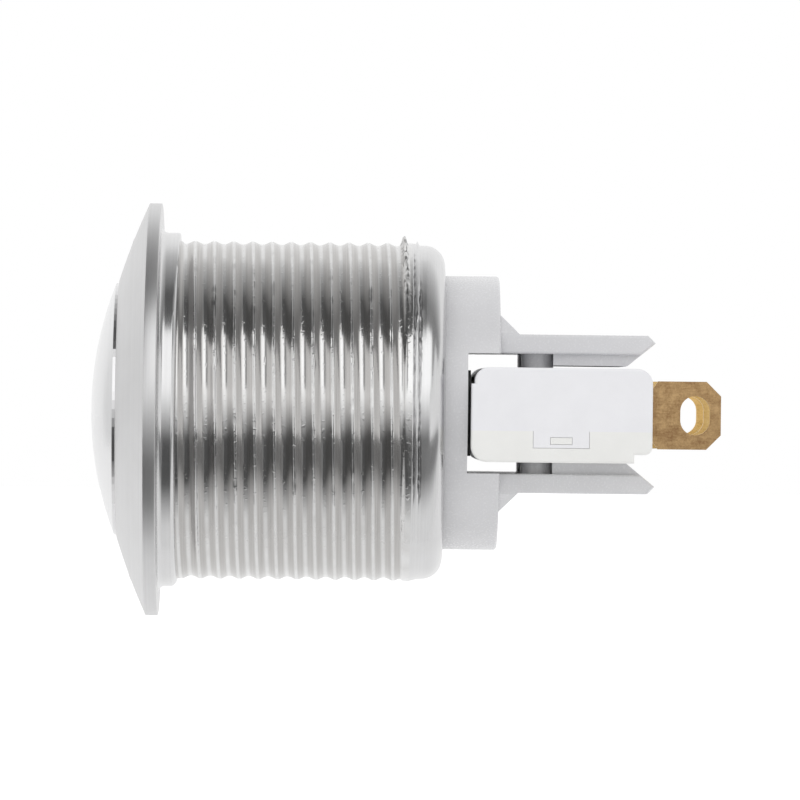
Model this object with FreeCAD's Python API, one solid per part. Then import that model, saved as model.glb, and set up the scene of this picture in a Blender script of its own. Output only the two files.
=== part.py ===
import FreeCAD, Part
import math
import os

# Panel pushbutton switch, in millimetres.
# A turned metal bush carries a domed button on a return spring. A moulded holder is
# rolled into the back of the bush, and a snap-action switch clips between its arms.
# Y is the axis: the button faces -Y and the solder lugs +Y. Z is up.
# The origin is on the axis, where the thread starts and the panel seats on the collar.

# Bush, outside
thread_d = 22.0
thread_length = 15.1
collar_step = 0.5            # collar above the thread, on the radius
collar_length = 1.2
flange_overhang = 1.9        # flange beyond the collar, on the radius
flange_rim = 0.84            # thickness of the flange at its edge
rim_bevel = 0.08
bezel_rise = 1.88            # from the front of the rim to the inner edge of the bezel
bezel_bulge = 0.08           # how far the bezel's curve stands off its chord
bezel_edge = 0.1             # bevel on the inner edge of the bezel
tail_step = 0.15             # plain tail below the thread, on the radius
tail_length = 2.1
tail_round = 1.3

# Bush, inside
bush_wall = 2.0              # from the thread's crest to the main bore
stop_shoulder = 0.65         # width of the shoulder that holds the button in
front_bore_length = 5.72     # from the bezel's inner edge to the shoulder
holder_seat = 0.4            # step that the holder's flange bears on
lip_overlap = 0.45           # how far the rolled lip reaches over that flange
lip_thickness = 1.0

# Button
button_clearance = 0.15      # on the radius, in the front bore
button_proud = 0.2           # edge of the button in front of the bezel
dome_rise = 1.56
button_travel = 1.0
stop_gap = 0.05              # between the button's flange and the shoulder at rest
button_flange = 1.4
flange_clearance = 0.2       # button's flange in the main bore, on the radius
button_wall = 1.6            # around the recess in the back of the button
recess_depth = 2.25

# O-ring in the button's groove
groove_depth = 1.2
groove_land = 1.4            # metal between the groove and the button's flange
groove_side_room = 0.15
o_ring_clearance = 0.05

# Pusher between the button and the switch
pusher_clearance = 0.2       # its flange in the button's recess, on the radius
pusher_flange = 1.2
pusher_stem_d = 6.4
pusher_tip_d = 4.5
guide_clearance = 0.1        # tip in the holder's guide, on the radius
touch_gap = 0.03             # between pieces that push each other

# Return spring
spring_wire_d = 0.7
spring_room = 0.75           # between the pusher's stem and the coils
spring_turns = 5
spring_wire_sides = 6        # the wire is drawn with flats, to keep its faces few

# Holder
holder_fit = 0.05            # holder's body in the rolled lip, on the radius
holder_flange_fit = 0.1
holder_flange = 2.0
holder_ring = 3.53           # what shows of the round body behind the bush
holder_edge_round = 0.2
spring_pocket_depth = 1.5
spring_pocket_room = 0.4
slot_depth = 2.1
slot_side_room = 0.75        # between the switch and the side of the slot
arm_width = 14.0
arm_thickness = 1.24
arm_length = 9.95
gusset = 1.22
pad_setback = 3.4            # from the back of the round body to the thick end of the arm
pad_clearance = 0.02
pad_side_step = 0.5          # thick end in from the sides of the arm
lead_in_length = 1.8
lead_in_depth = 1.48
arm_tip_bevel = 0.48
arm_edge_round = 0.15

# Pegs on the arms, and the holes that they snap into
peg_d = 2.05
peg_spacing = 9.5
peg_setback = 4.11           # from the front of the switch case to the pegs
peg_reach = 1.1
peg_bevel = 0.3
peg_hole_clearance = 0.125
peg_boss_wall = 0.7

# Gasket in the bottom of the slot
gasket_thickness = 0.2
gasket_inset = 0.35          # inside the switch's outline, top and bottom
gasket_length = 16.0
gasket_round = 1.0

# Snap-action switch, case and cover
switch_length = 19.8
switch_thickness = 6.2
switch_height = 11.35        # from the front of the case to the lug side
cover_thickness = 2.0
case_top_drop = 0.15         # top of the case below the arm's thick end
front_pad_rise = 0.22        # raised pad on the front of the case
front_pad_setback = 1.2      # from the top of the case to the pad
case_wall = 0.8
front_wall = 1.0
back_wall = 1.2
front_round = 0.9
back_round = 1.0
end_edge_round = 0.15        # round the end faces of case and cover
cover_round = 1.0
cover_notch_length = 1.15
cover_notch_depth = 0.55
cover_notch_round = 0.5

# Latch at each end of the case
latch_setback = 3.75
latch_width = 3.57
latch_drop = 1.06
latch_thickness = 0.4
latch_clearance = 0.02
window_border = 1.1
window_top = 0.4
window_height = 0.42

# Plunger of the switch
plunger_d = 2.4
plunger_hole_clearance = 0.1
plunger_spare = 0.2          # what still stands out at full travel
plunger_flange_d = 3.8
plunger_flange = 0.8
plunger_stem_d = 2.0
plunger_foot = 0.9
plunger_foot_width = 1.0

# Solder lugs
lug_thickness = 0.5
lug_width = 4.35
lug_length = 4.43
lug_bevel = 0.93
lug_flare = 0.4
lug_neck_width = 3.2
lug_eye_width = 1.9
lug_eye_height = 2.5
lug_eye_setback = 1.65       # from the tip of the lug to the middle of the eye
lug_slot_clearance = 0.03
lug_end_inset = 1.85         # outer lugs, in from the ends of the switch
lug_middle_offset = 0.75     # middle lug, off the plunger's line

# Snap blade and contacts
blade_thickness = 0.15
blade_width = 3.2
blade_knuckle_d = 0.5
knuckle_depth = 0.05         # how far the knuckle sits into the common terminal
knuckle_clearance = 0.05
blade_overhang = 1.1         # blade past the moving contact
blade_window_width = 1.5
blade_window_start = 3.1     # from the knuckle
blade_window_land = 3.0      # from the window to the contact
tongue_width = 1.1
tongue_bow = 0.6
tongue_drop = 0.35           # end of the tongue behind the blade
anchor_gap = 0.1
anchor_thickness = 0.5
contact_d = 1.9
contact_thickness = 0.4
contact_shank_d = 0.96
shank_clearance = 0.02
contact_inset = 2.45         # contacts, in from the normally closed lug
contact_gap = 0.6            # what the moving contact crosses
contact_touch = 0.02
contact_arm_overhang = 1.1   # fixed arms past their contacts
contact_arm_room = 0.3       # between the peg's boss and the arm behind it

# Places along the axis
flange_rear_y = -collar_length
rim_front_y = flange_rear_y - flange_rim
bezel_front_y = rim_front_y - bezel_rise
button_edge_y = bezel_front_y - button_proud
apex_y = button_edge_y - dome_rise
shoulder_y = bezel_front_y + front_bore_length
bush_rear_y = thread_length + tail_length
lip_front_y = bush_rear_y - lip_thickness
holder_front_y = lip_front_y - holder_flange
holder_rear_y = bush_rear_y + holder_ring
spring_seat_y = holder_front_y + spring_pocket_depth
slot_floor_y = holder_rear_y - slot_depth

button_flange_y = shoulder_y + stop_gap
button_rear_y = button_flange_y + button_flange
recess_floor_y = button_rear_y - recess_depth
pusher_flange_y = recess_floor_y + pusher_flange

pad_front_y = slot_floor_y + gasket_thickness
case_front_y = pad_front_y + front_pad_rise
case_rear_y = case_front_y + switch_height
cavity_front_y = case_front_y + front_wall
cavity_rear_y = case_rear_y - back_wall
peg_y = case_front_y + peg_setback
plunger_tip_y = pad_front_y - button_travel - plunger_spare
pusher_tip_y = plunger_tip_y - touch_gap
pusher_stop_y = spring_seat_y - button_travel - stop_gap

# Radii about the axis
thread_r = thread_d / 2
collar_r = thread_r + collar_step
flange_r = collar_r + flange_overhang
tail_r = thread_r - tail_step
main_bore_r = thread_r - bush_wall
front_bore_r = main_bore_r - stop_shoulder
counterbore_r = main_bore_r + holder_seat
lip_r = counterbore_r - lip_overlap
button_r = front_bore_r - button_clearance
button_flange_r = main_bore_r - flange_clearance
groove_r = button_r - groove_depth
recess_r = button_r - button_wall
pusher_flange_r = recess_r - pusher_clearance
pusher_stem_r = pusher_stem_d / 2
pusher_tip_r = pusher_tip_d / 2
guide_r = pusher_tip_r + guide_clearance
spring_r = pusher_stem_r + spring_room + spring_wire_d / 2
spring_pocket_r = spring_r + spring_wire_d / 2 + spring_pocket_room
holder_r = lip_r - holder_fit
holder_flange_r = counterbore_r - holder_flange_fit

# O-ring and its groove
o_ring_cord_r = (front_bore_r - groove_r) / 2 - o_ring_clearance
o_ring_r = (front_bore_r + groove_r) / 2
groove_rear_y = button_flange_y - groove_land
groove_front_y = groove_rear_y - 2 * (o_ring_cord_r + groove_side_room)
o_ring_y = (groove_front_y + groove_rear_y) / 2

# Switch, across the axis
switch_half = switch_thickness / 2
end_x = switch_length / 2
slot_half = switch_half + slot_side_room
parting_z = cover_thickness - switch_half
case_top_z = switch_half - case_top_drop
case_roof_z = case_top_z - case_wall
cover_floor_z = case_wall - switch_half
front_pad_top_z = switch_half - front_pad_setback
peg_r = peg_d / 2
peg_hole_r = peg_r + peg_hole_clearance
peg_boss_r = peg_hole_r + peg_boss_wall
peg_x = peg_spacing / 2

# Contacts, from the pegs' bosses backwards
closed_x = end_x - lug_end_inset
common_x = -closed_x
open_x = lug_middle_offset
contact_x = closed_x - contact_inset
closed_arm_y = peg_y + peg_boss_r + contact_arm_room
closed_contact_y = closed_arm_y + lug_thickness
moving_contact_y = closed_contact_y + contact_thickness + contact_touch
blade_y = moving_contact_y + contact_thickness
blade_rear_y = blade_y + blade_thickness
open_contact_y = blade_rear_y + contact_thickness + contact_gap
open_arm_y = open_contact_y + contact_thickness
pivot_y = blade_y + blade_thickness / 2
pivot_x = common_x + lug_thickness / 2 + blade_knuckle_d / 2 - knuckle_depth
lug_tip_y = case_rear_y + lug_length
plunger_foot_y = blade_y - touch_gap

Y_AXIS = FreeCAD.Vector(0, 1, 0)
Z_AXIS = FreeCAD.Vector(0, 0, 1)
ORIGIN = FreeCAD.Vector(0, 0, 0)


def turning_plane(radius, y):
    return FreeCAD.Vector(radius, y, 0)


def side_plane(y, z):
    return FreeCAD.Vector(0, y, z)


def plan_plane(x, y):
    return FreeCAD.Vector(x, y, 0)


def outline_face(plane, start, *steps):
    """Face inside a closed outline. A step is the end of a straight line, or (via, end) of an arc."""
    here = plane(*start)
    edges = []
    for step in [*steps, start]:
        if isinstance(step[0], tuple):
            via, end = plane(*step[0]), plane(*step[1])
            edges.append(Part.Arc(here, via, end).toShape())
        else:
            end = plane(*step)
            edges.append(Part.LineSegment(here, end).toShape())
        here = end
    return Part.Face(Part.Wire(edges))


def turned(start, *steps):
    """Solid of revolution about the switch's axis, from a (radius, y) outline."""
    return outline_face(turning_plane, start, *steps).revolve(ORIGIN, Y_AXIS, 360)


def across(width, start, *steps):
    """Prism along X, centred on the axis, from a (y, z) outline."""
    face = outline_face(side_plane, start, *steps)
    face.translate(FreeCAD.Vector(-width / 2, 0, 0))
    return face.extrude(FreeCAD.Vector(width, 0, 0))


def round_ends(prism, radius, sharp_z=None):
    """Prism along X with the edges of its two end faces rounded, except those that lie at sharp_z."""
    edges = []
    for edge in prism.Edges:
        box = edge.BoundBox
        on_end_face = box.XLength < radius / 2
        stays_sharp = sharp_z is not None and abs(box.ZMin - sharp_z) + abs(box.ZMax - sharp_z) < radius / 2
        if on_end_face and not stays_sharp:
            edges.append(edge)
    return prism.makeFillet(radius, edges)


def upright(height, start, *steps):
    """Prism along Z, centred on the axis, from an (x, y) outline."""
    face = outline_face(plan_plane, start, *steps)
    face.translate(FreeCAD.Vector(0, 0, -height / 2))
    return face.extrude(FreeCAD.Vector(0, 0, height))


def block(x0, x1, y0, y1, z0, z1):
    return Part.makeBox(x1 - x0, y1 - y0, z1 - z0, FreeCAD.Vector(x0, y0, z0))


def rod_y(radius, y0, y1, x=0.0):
    return Part.makeCylinder(radius, y1 - y0, FreeCAD.Vector(x, y0, 0), Y_AXIS)


def rod_z(radius, x, y, z0, z1):
    return Part.makeCylinder(radius, z1 - z0, FreeCAD.Vector(x, y, z0), Z_AXIS)


def quarter(centre, radius, degrees):
    """Point on a round corner, used as the middle of its arc."""
    angle = math.radians(degrees)
    return (centre[0] + radius * math.cos(angle), centre[1] + radius * math.sin(angle))


def both_pegs(make):
    """Two like solids, one on each peg's line."""
    return make(-peg_x).fuse(make(peg_x))


def bush():
    """Bezel, flange, collar and threaded barrel, turned from one bar. The thread itself is left plain."""
    inner_edge = (front_bore_r + bezel_edge, bezel_front_y)
    rim_edge = (flange_r - rim_bevel, rim_front_y)
    chord = math.dist(inner_edge, rim_edge)
    bezel_via = (
        (inner_edge[0] + rim_edge[0]) / 2 + bezel_bulge * (rim_edge[1] - inner_edge[1]) / chord,
        (inner_edge[1] + rim_edge[1]) / 2 - bezel_bulge * (rim_edge[0] - inner_edge[0]) / chord,
    )
    round_centre = (tail_r - tail_round, bush_rear_y - tail_round)
    return turned(
        inner_edge,
        (bezel_via, rim_edge),
        (flange_r, rim_front_y + rim_bevel),
        (flange_r, flange_rear_y - rim_bevel),
        (flange_r - rim_bevel, flange_rear_y),
        (collar_r, flange_rear_y),
        (collar_r, 0),
        (thread_r, 0),
        (thread_r, thread_length),
        (tail_r, thread_length),
        (tail_r, bush_rear_y - tail_round),
        (quarter(round_centre, tail_round, 45), (tail_r - tail_round, bush_rear_y)),
        (lip_r, bush_rear_y),
        (lip_r, lip_front_y),
        (counterbore_r, lip_front_y),
        (counterbore_r, holder_front_y),
        (main_bore_r, holder_front_y),
        (main_bore_r, shoulder_y),
        (front_bore_r, shoulder_y),
        (front_bore_r, bezel_front_y + bezel_edge),
    )


def button():
    """Domed head with an O-ring groove, a flange that the shoulder stops, and a recess for the pusher."""
    dome_r = (button_r**2 + dome_rise**2) / (2 * dome_rise)
    half_out = button_r / 2
    dome_via = (half_out, apex_y + dome_r - math.sqrt(dome_r**2 - half_out**2))
    return turned(
        (0, apex_y),
        (dome_via, (button_r, button_edge_y)),
        (button_r, groove_front_y),
        (groove_r, groove_front_y),
        (groove_r, groove_rear_y),
        (button_r, groove_rear_y),
        (button_r, button_flange_y),
        (button_flange_r, button_flange_y),
        (button_flange_r, button_rear_y),
        (recess_r, button_rear_y),
        (recess_r, recess_floor_y),
        (0, recess_floor_y),
    )


def button_o_ring():
    return Part.makeTorus(o_ring_r, o_ring_cord_r, FreeCAD.Vector(0, o_ring_y, 0), Y_AXIS)


def pusher():
    """Stem that carries the button's travel to the switch. Its shoulder meets the holder at full travel."""
    return turned(
        (0, recess_floor_y),
        (pusher_flange_r, recess_floor_y),
        (pusher_flange_r, pusher_flange_y),
        (pusher_stem_r, pusher_flange_y),
        (pusher_stem_r, pusher_stop_y),
        (pusher_tip_r, pusher_stop_y),
        (pusher_tip_r, pusher_tip_y),
        (0, pusher_tip_y),
    )


def return_spring():
    """Compression spring between the pusher's flange and the holder's pocket, in half turns that meet."""
    wire_r = spring_wire_d / 2
    end_room = wire_r + touch_gap
    rise = (spring_seat_y - pusher_flange_y - 2 * end_room) / (2 * spring_turns)
    start = FreeCAD.Vector(spring_r, pusher_flange_y + end_room, 0)
    corners = []
    for index in range(spring_wire_sides + 1):
        angle = 2 * math.pi * index / spring_wire_sides
        corners.append(start + FreeCAD.Vector(wire_r * math.cos(angle), wire_r * math.sin(angle), 0))
    section = Part.Face(Part.makePolygon(corners))
    skin = [section]
    for index in range(2 * spring_turns):
        side = 1 if index % 2 == 0 else -1
        centre = FreeCAD.Vector(0, start.y + (index + 0.5) * rise, 0)
        axis = FreeCAD.Vector(side * rise, 2 * spring_r, 0)
        skin += section.OuterWire.revolve(centre, axis, 180).Faces
        section = section.copy()
        section.rotate(centre, axis, 180)
    skin.append(section)
    coil = Part.makeCompound(skin)
    coil.sewShape()
    return Part.makeSolid(Part.makeShell(coil.Faces))


def holder_arm():
    """Upper arm of the holder, with its gusset within the round body, its thick end and its lead-in."""
    pad_z = switch_half + pad_clearance
    outer_z = slot_half + arm_thickness
    tip_y = holder_rear_y + arm_length
    pad_y = holder_rear_y + pad_setback
    slope = lead_in_depth / lead_in_length
    arm_y = tip_y - lead_in_length + (slot_half - pad_z) / slope
    arm = across(
        arm_width,
        (slot_floor_y, slot_half),
        (arm_y, slot_half),
        (tip_y, pad_z + lead_in_depth),
        (tip_y - arm_tip_bevel, outer_z),
        (holder_rear_y + gusset, outer_z),
        (holder_rear_y, outer_z + gusset),
        (slot_floor_y, outer_z + gusset),
    )
    pad = across(
        arm_width - 2 * pad_side_step,
        (pad_y, slot_half),
        (pad_y, pad_z),
        (tip_y - lead_in_length, pad_z),
        (arm_y, slot_half),
    )
    round_body = rod_y(holder_r - holder_edge_round, slot_floor_y, tip_y)
    return round_ends(arm, arm_edge_round).common(round_body).fuse([pad, both_pegs(holder_peg)])


def holder_peg(x):
    """Peg that snaps into a hole of the switch, with a bevelled tip."""
    tip_z = switch_half - peg_reach
    stem = rod_z(peg_r, x, peg_y, tip_z + peg_bevel, slot_half + arm_thickness / 2)
    tip = Part.makeCone(peg_r - peg_bevel, peg_r, peg_bevel, FreeCAD.Vector(x, peg_y, tip_z), Z_AXIS)
    return stem.fuse(tip)


def holder():
    """Moulded body with a flange under the rolled lip, a pusher guide, a slot and two sprung arms."""
    round_centre = (holder_r - holder_edge_round, holder_rear_y - holder_edge_round)
    body = turned(
        (guide_r, spring_seat_y),
        (spring_pocket_r, spring_seat_y),
        (spring_pocket_r, holder_front_y),
        (holder_flange_r, holder_front_y),
        (holder_flange_r, lip_front_y),
        (holder_r, lip_front_y),
        (holder_r, round_centre[1]),
        (quarter(round_centre, holder_edge_round, 45), (round_centre[0], holder_rear_y)),
        (guide_r, holder_rear_y),
    )
    reach = 2 * holder_r
    slot = block(-reach, reach, slot_floor_y, holder_rear_y + reach, -slot_half, slot_half)
    upper_arm = holder_arm()
    lower_arm = upper_arm.mirror(ORIGIN, Z_AXIS)
    return body.cut(slot).fuse([upper_arm, lower_arm]).removeSplitter()


def switch_gasket():
    """Black rubber sheet between the slot's floor and the switch, with a hole for the plunger."""
    half_height = switch_half - gasket_inset
    half_length = gasket_length / 2
    sheet = block(-half_length, half_length, slot_floor_y, pad_front_y, -half_height, half_height)
    corners = [edge for edge in sheet.Edges if edge.BoundBox.YLength > gasket_thickness / 2]
    return sheet.makeFillet(gasket_round, corners).cut(rod_y(guide_r, slot_floor_y, pad_front_y))


def switch_cavity():
    """Room inside the case and cover, with the bosses round the peg holes left standing."""
    inner_x = end_x - case_wall
    room = block(-inner_x, inner_x, cavity_front_y, cavity_rear_y, cover_floor_z, case_roof_z)
    return room.cut(both_pegs(lambda x: rod_z(peg_boss_r, x, peg_y, cover_floor_z, case_roof_z)))


def peg_holes():
    return both_pegs(lambda x: rod_z(peg_hole_r, x, peg_y, -switch_half, switch_half))


def lug_slots():
    """Slots in the back wall where the necks of the lugs come out."""
    half_x = lug_thickness / 2 + lug_slot_clearance
    half_z = lug_neck_width / 2 + lug_slot_clearance
    slots = [
        block(x - half_x, x + half_x, cavity_rear_y, case_rear_y, -half_z, half_z)
        for x in (common_x, open_x, closed_x)
    ]
    return slots[0].fuse(slots[1:])


def latch_tab(clearance):
    """Tab of the case at the +X end, or the recess for it in the cover when given a clearance."""
    front_y = case_front_y + latch_setback
    return block(
        end_x - latch_thickness - clearance,
        end_x,
        front_y - clearance,
        front_y + latch_width + clearance,
        parting_z - latch_drop - clearance,
        parting_z,
    )


def latch_catch(clearance):
    """Catch of the cover at the +X end, or the window for it in the tab when given a clearance."""
    front_y = case_front_y + latch_setback + window_border
    return block(
        end_x - latch_thickness - latch_clearance,
        end_x,
        front_y - clearance,
        front_y + latch_width - 2 * window_border + clearance,
        parting_z - window_top - window_height - clearance,
        parting_z - window_top + clearance,
    )


def at_both_ends(solid):
    return solid.fuse(solid.mirror(ORIGIN, FreeCAD.Vector(1, 0, 0)))


def switch_case():
    """White upper half of the switch, with a raised pad on its front and a latch tab at each end."""
    front_centre = (case_front_y + front_round, case_top_z - front_round)
    back_centre = (case_rear_y - back_round, case_top_z - back_round)
    shell = across(
        switch_length,
        (pad_front_y, parting_z),
        (pad_front_y, front_pad_top_z),
        (case_front_y, front_pad_top_z),
        (case_front_y, front_centre[1]),
        (quarter(front_centre, front_round, 135), (front_centre[0], case_top_z)),
        (back_centre[0], case_top_z),
        (quarter(back_centre, back_round, 45), (case_rear_y, back_centre[1])),
        (case_rear_y, parting_z),
    )
    tabs = at_both_ends(latch_tab(0).cut(latch_catch(latch_clearance)))
    plunger_hole = rod_y(plunger_d / 2 + plunger_hole_clearance, pad_front_y, cavity_front_y)
    openings = [switch_cavity(), peg_holes(), lug_slots(), plunger_hole]
    return round_ends(shell, end_edge_round, parting_z).cut(openings).fuse(tabs).removeSplitter()


def switch_cover():
    """White lower half of the switch, with a notch at its back corner and the catches for the latches."""
    front_centre = (pad_front_y + cover_round, cover_round - switch_half)
    notch_z = cover_notch_depth - switch_half
    notch_centre = (case_rear_y - cover_notch_round, notch_z + cover_notch_round)
    shell = across(
        switch_length,
        (pad_front_y, parting_z),
        (case_rear_y, parting_z),
        (case_rear_y, notch_centre[1]),
        (quarter(notch_centre, cover_notch_round, -45), (notch_centre[0], notch_z)),
        (case_rear_y - cover_notch_length, notch_z),
        (case_rear_y - cover_notch_length, -switch_half),
        (front_centre[0], -switch_half),
        (quarter(front_centre, cover_round, -135), (pad_front_y, front_centre[1])),
    )
    plunger_hole = rod_y(plunger_d / 2 + plunger_hole_clearance, pad_front_y, cavity_front_y)
    recesses = at_both_ends(latch_tab(latch_clearance))
    openings = [switch_cavity(), peg_holes(), lug_slots(), plunger_hole, recesses]
    body = round_ends(shell, end_edge_round, parting_z).cut(openings)
    return body.fuse(at_both_ends(latch_catch(0))).removeSplitter()


def switch_plunger():
    """Pin that the pusher presses, with a flange inside the case and a foot across the blade."""
    flange_y = cavity_front_y + touch_gap
    flange_end_y = flange_y + plunger_flange
    foot_front_y = plunger_foot_y - plunger_foot
    pin = turned(
        (0, plunger_tip_y),
        (plunger_d / 2, plunger_tip_y),
        (plunger_d / 2, flange_y),
        (plunger_flange_d / 2, flange_y),
        (plunger_flange_d / 2, flange_end_y),
        (plunger_stem_d / 2, flange_end_y),
        (plunger_stem_d / 2, foot_front_y),
        (0, foot_front_y),
    )
    half_x = plunger_foot_width / 2
    half_z = blade_width / 2
    return pin.fuse(block(-half_x, half_x, foot_front_y, plunger_foot_y, -half_z, half_z))


def solder_lug(x, inner_y):
    """Stamped brass lug with bevelled corners and an eye. Its neck runs into the switch to inner_y."""
    half_neck = lug_neck_width / 2
    half_lug = lug_width / 2
    lug = across(
        lug_thickness,
        (inner_y, -half_neck),
        (case_rear_y, -half_neck),
        (case_rear_y + lug_flare, -half_lug),
        (lug_tip_y - lug_bevel, -half_lug),
        (lug_tip_y, lug_bevel - half_lug),
        (lug_tip_y, half_lug - lug_bevel),
        (lug_tip_y - lug_bevel, half_lug),
        (case_rear_y + lug_flare, half_lug),
        (case_rear_y, half_neck),
        (inner_y, half_neck),
    )
    eye_y = lug_tip_y - lug_eye_setback
    eye_r = lug_eye_width / 2
    straight = lug_eye_height / 2 - eye_r
    eye = across(
        lug_thickness,
        (eye_y - eye_r, -straight),
        ((eye_y, -straight - eye_r), (eye_y + eye_r, -straight)),
        (eye_y + eye_r, straight),
        ((eye_y, straight + eye_r), (eye_y - eye_r, straight)),
    )
    lug = lug.cut(eye)
    lug.translate(FreeCAD.Vector(x, 0, 0))
    return lug


def common_terminal():
    """Lug whose neck carries the groove for the blade's knuckle and the anchor for its tongue."""
    half_neck = lug_neck_width / 2
    lug = solder_lug(common_x, closed_arm_y)
    foot_x = tongue_end_x() - anchor_gap
    foot = block(common_x, foot_x, open_arm_y, open_arm_y + lug_thickness, -half_neck, half_neck)
    half_tongue = tongue_width / 2
    anchor_y = blade_rear_y + touch_gap
    anchor = block(foot_x - anchor_thickness, foot_x, anchor_y, open_arm_y, -half_tongue, half_tongue)
    groove = rod_z(blade_knuckle_d / 2 + knuckle_clearance, pivot_x, pivot_y, -half_neck, half_neck)
    return lug.fuse([foot, anchor]).cut(groove).removeSplitter()


def normally_open_terminal():
    """Middle lug, bent towards the contacts behind the blade."""
    half_neck = lug_neck_width / 2
    arm_end_x = contact_x + contact_arm_overhang
    arm_y = open_arm_y
    arm = block(open_x - lug_thickness / 2, arm_end_x, arm_y, arm_y + lug_thickness, -half_neck, half_neck)
    return solder_lug(open_x, arm_y).fuse(arm).removeSplitter()


def normally_closed_terminal():
    """End lug, bent round in front of the blade."""
    half_neck = lug_neck_width / 2
    arm_end_x = contact_x - contact_arm_overhang
    arm_y = closed_arm_y
    arm = block(arm_end_x, closed_x + lug_thickness / 2, arm_y, arm_y + lug_thickness, -half_neck, half_neck)
    return solder_lug(closed_x, arm_y).fuse(arm).removeSplitter()


def tongue_end_x():
    """Free end of the blade's tongue."""
    return pivot_x + blade_window_start + anchor_thickness + 2 * anchor_gap + blade_knuckle_d


def snap_blade():
    """Sprung strip with a rolled knuckle at one end, and a bowed tongue in its window."""
    half_width = blade_width / 2
    end = contact_x + blade_overhang
    strip = block(pivot_x, end, blade_y, blade_rear_y, -half_width, half_width)
    window_x = pivot_x + blade_window_start
    window_end_x = contact_x - blade_window_land
    half_window = blade_window_width / 2
    window = block(window_x, window_end_x, blade_y, blade_rear_y, -half_window, half_window)
    shank_hole = rod_y(contact_shank_d / 2 + shank_clearance, blade_y, blade_rear_y, contact_x)
    knuckle = rod_z(blade_knuckle_d / 2, pivot_x, pivot_y, -half_width, half_width)
    tip_x = tongue_end_x()
    tip_y = blade_y + tongue_drop
    bow_x = (tip_x + window_end_x) / 2
    bow_y = (tip_y + blade_y) / 2 + tongue_bow
    tongue = upright(
        tongue_width,
        (window_end_x, blade_y),
        ((bow_x, bow_y), (tip_x, tip_y)),
        (tip_x, tip_y + blade_thickness),
        ((bow_x, bow_y + blade_thickness), (window_end_x, blade_rear_y)),
    )
    return strip.cut([window, shank_hole]).fuse([knuckle, tongue]).removeSplitter()


def moving_contact():
    """Silver rivet through the end of the blade, with a head on each side."""
    head_r = contact_d / 2
    front = rod_y(head_r, moving_contact_y, blade_y, contact_x)
    shank = rod_y(contact_shank_d / 2, blade_y, blade_rear_y, contact_x)
    rear = rod_y(head_r, blade_rear_y, blade_rear_y + contact_thickness, contact_x)
    return shank.fuse([front, rear]).removeSplitter()


def normally_open_contact():
    return rod_y(contact_d / 2, open_contact_y, open_arm_y, contact_x)


def normally_closed_contact():
    return rod_y(contact_d / 2, closed_contact_y, closed_contact_y + contact_thickness, contact_x)


PIECES = (
    bush,
    button,
    button_o_ring,
    pusher,
    return_spring,
    holder,
    switch_gasket,
    switch_case,
    switch_cover,
    switch_plunger,
    common_terminal,
    normally_open_terminal,
    normally_closed_terminal,
    snap_blade,
    moving_contact,
    normally_open_contact,
    normally_closed_contact,
)

os.makedirs("parts", exist_ok=True)
for piece in PIECES:
    shape = piece()
    shape.exportStep(f"parts/{piece.__name__}.step")
    print(f"{piece.__name__:26s} valid {shape.isValid()}  solids {len(shape.Solids)}  {shape.Volume:.3f} mm3")
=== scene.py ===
import math
import bmesh
import bpy
from mathutils import Matrix, Vector, noise


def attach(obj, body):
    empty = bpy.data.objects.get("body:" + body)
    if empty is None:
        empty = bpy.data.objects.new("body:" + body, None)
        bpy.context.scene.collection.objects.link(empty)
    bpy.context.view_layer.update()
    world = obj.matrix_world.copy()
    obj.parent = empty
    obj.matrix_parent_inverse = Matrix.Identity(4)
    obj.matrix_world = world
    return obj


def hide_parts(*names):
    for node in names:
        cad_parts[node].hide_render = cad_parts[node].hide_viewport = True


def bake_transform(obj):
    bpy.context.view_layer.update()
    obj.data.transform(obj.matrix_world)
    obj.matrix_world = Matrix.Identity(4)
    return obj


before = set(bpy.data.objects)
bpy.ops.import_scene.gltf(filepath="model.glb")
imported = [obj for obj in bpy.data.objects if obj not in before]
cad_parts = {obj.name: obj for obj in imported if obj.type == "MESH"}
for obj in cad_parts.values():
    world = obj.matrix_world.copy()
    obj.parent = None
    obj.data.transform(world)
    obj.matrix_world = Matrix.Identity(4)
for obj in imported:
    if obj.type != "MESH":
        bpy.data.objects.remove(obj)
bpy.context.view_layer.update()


# Bush: bezel, flange, collar and barrel are turned from one bar of stainless steel. The thread is
# rolled on afterwards. That leaves a burnished seam along its crest, wears the collar's rear edge
# where it starts, and ends in a plain land with a torn burr and two ragged rings. Crest, root and
# land are painted brighter than the flanks, for the burnish and as painted reflection bands.
MM = 0.001
BUSH_SEGMENTS = 320
COLLAR_R = 11.5
THREAD_R = 11.0
THREAD_END = 15.05
THREAD_PITCH = 1.25
TAIL_R = 10.85
COLLAR_WEAR = 0.26
WEAR_STARTS, WEAR_FULL, WEAR_WANES, WEAR_ENDS = 20, 65, 265, 335
TEAR_GRAIN = 30
TEAR_FADE = 16
FAINT_TEAR = 0.1
# Each torn ring: place along Y, half width, depth, wander, and the degrees where it starts and stops.
TORN_RINGS = ((15.18, 0.05, 0.17, 0.02, 12, 126), (15.51, 0.055, 0.20, 0.04, 36, 128))
# Each lip that was pushed up between them: place along Y, half width, degrees, half angle, height.
TORN_LIPS = ((15.40, 0.07, 2, 9, 0.22), (15.44, 0.12, 54, 2.4, 0.14))


def settle(value):
    """Smooth step from 0 to 1."""
    value = min(max(value, 0.0), 1.0)
    return value * value * (3 - 2 * value)


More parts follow.
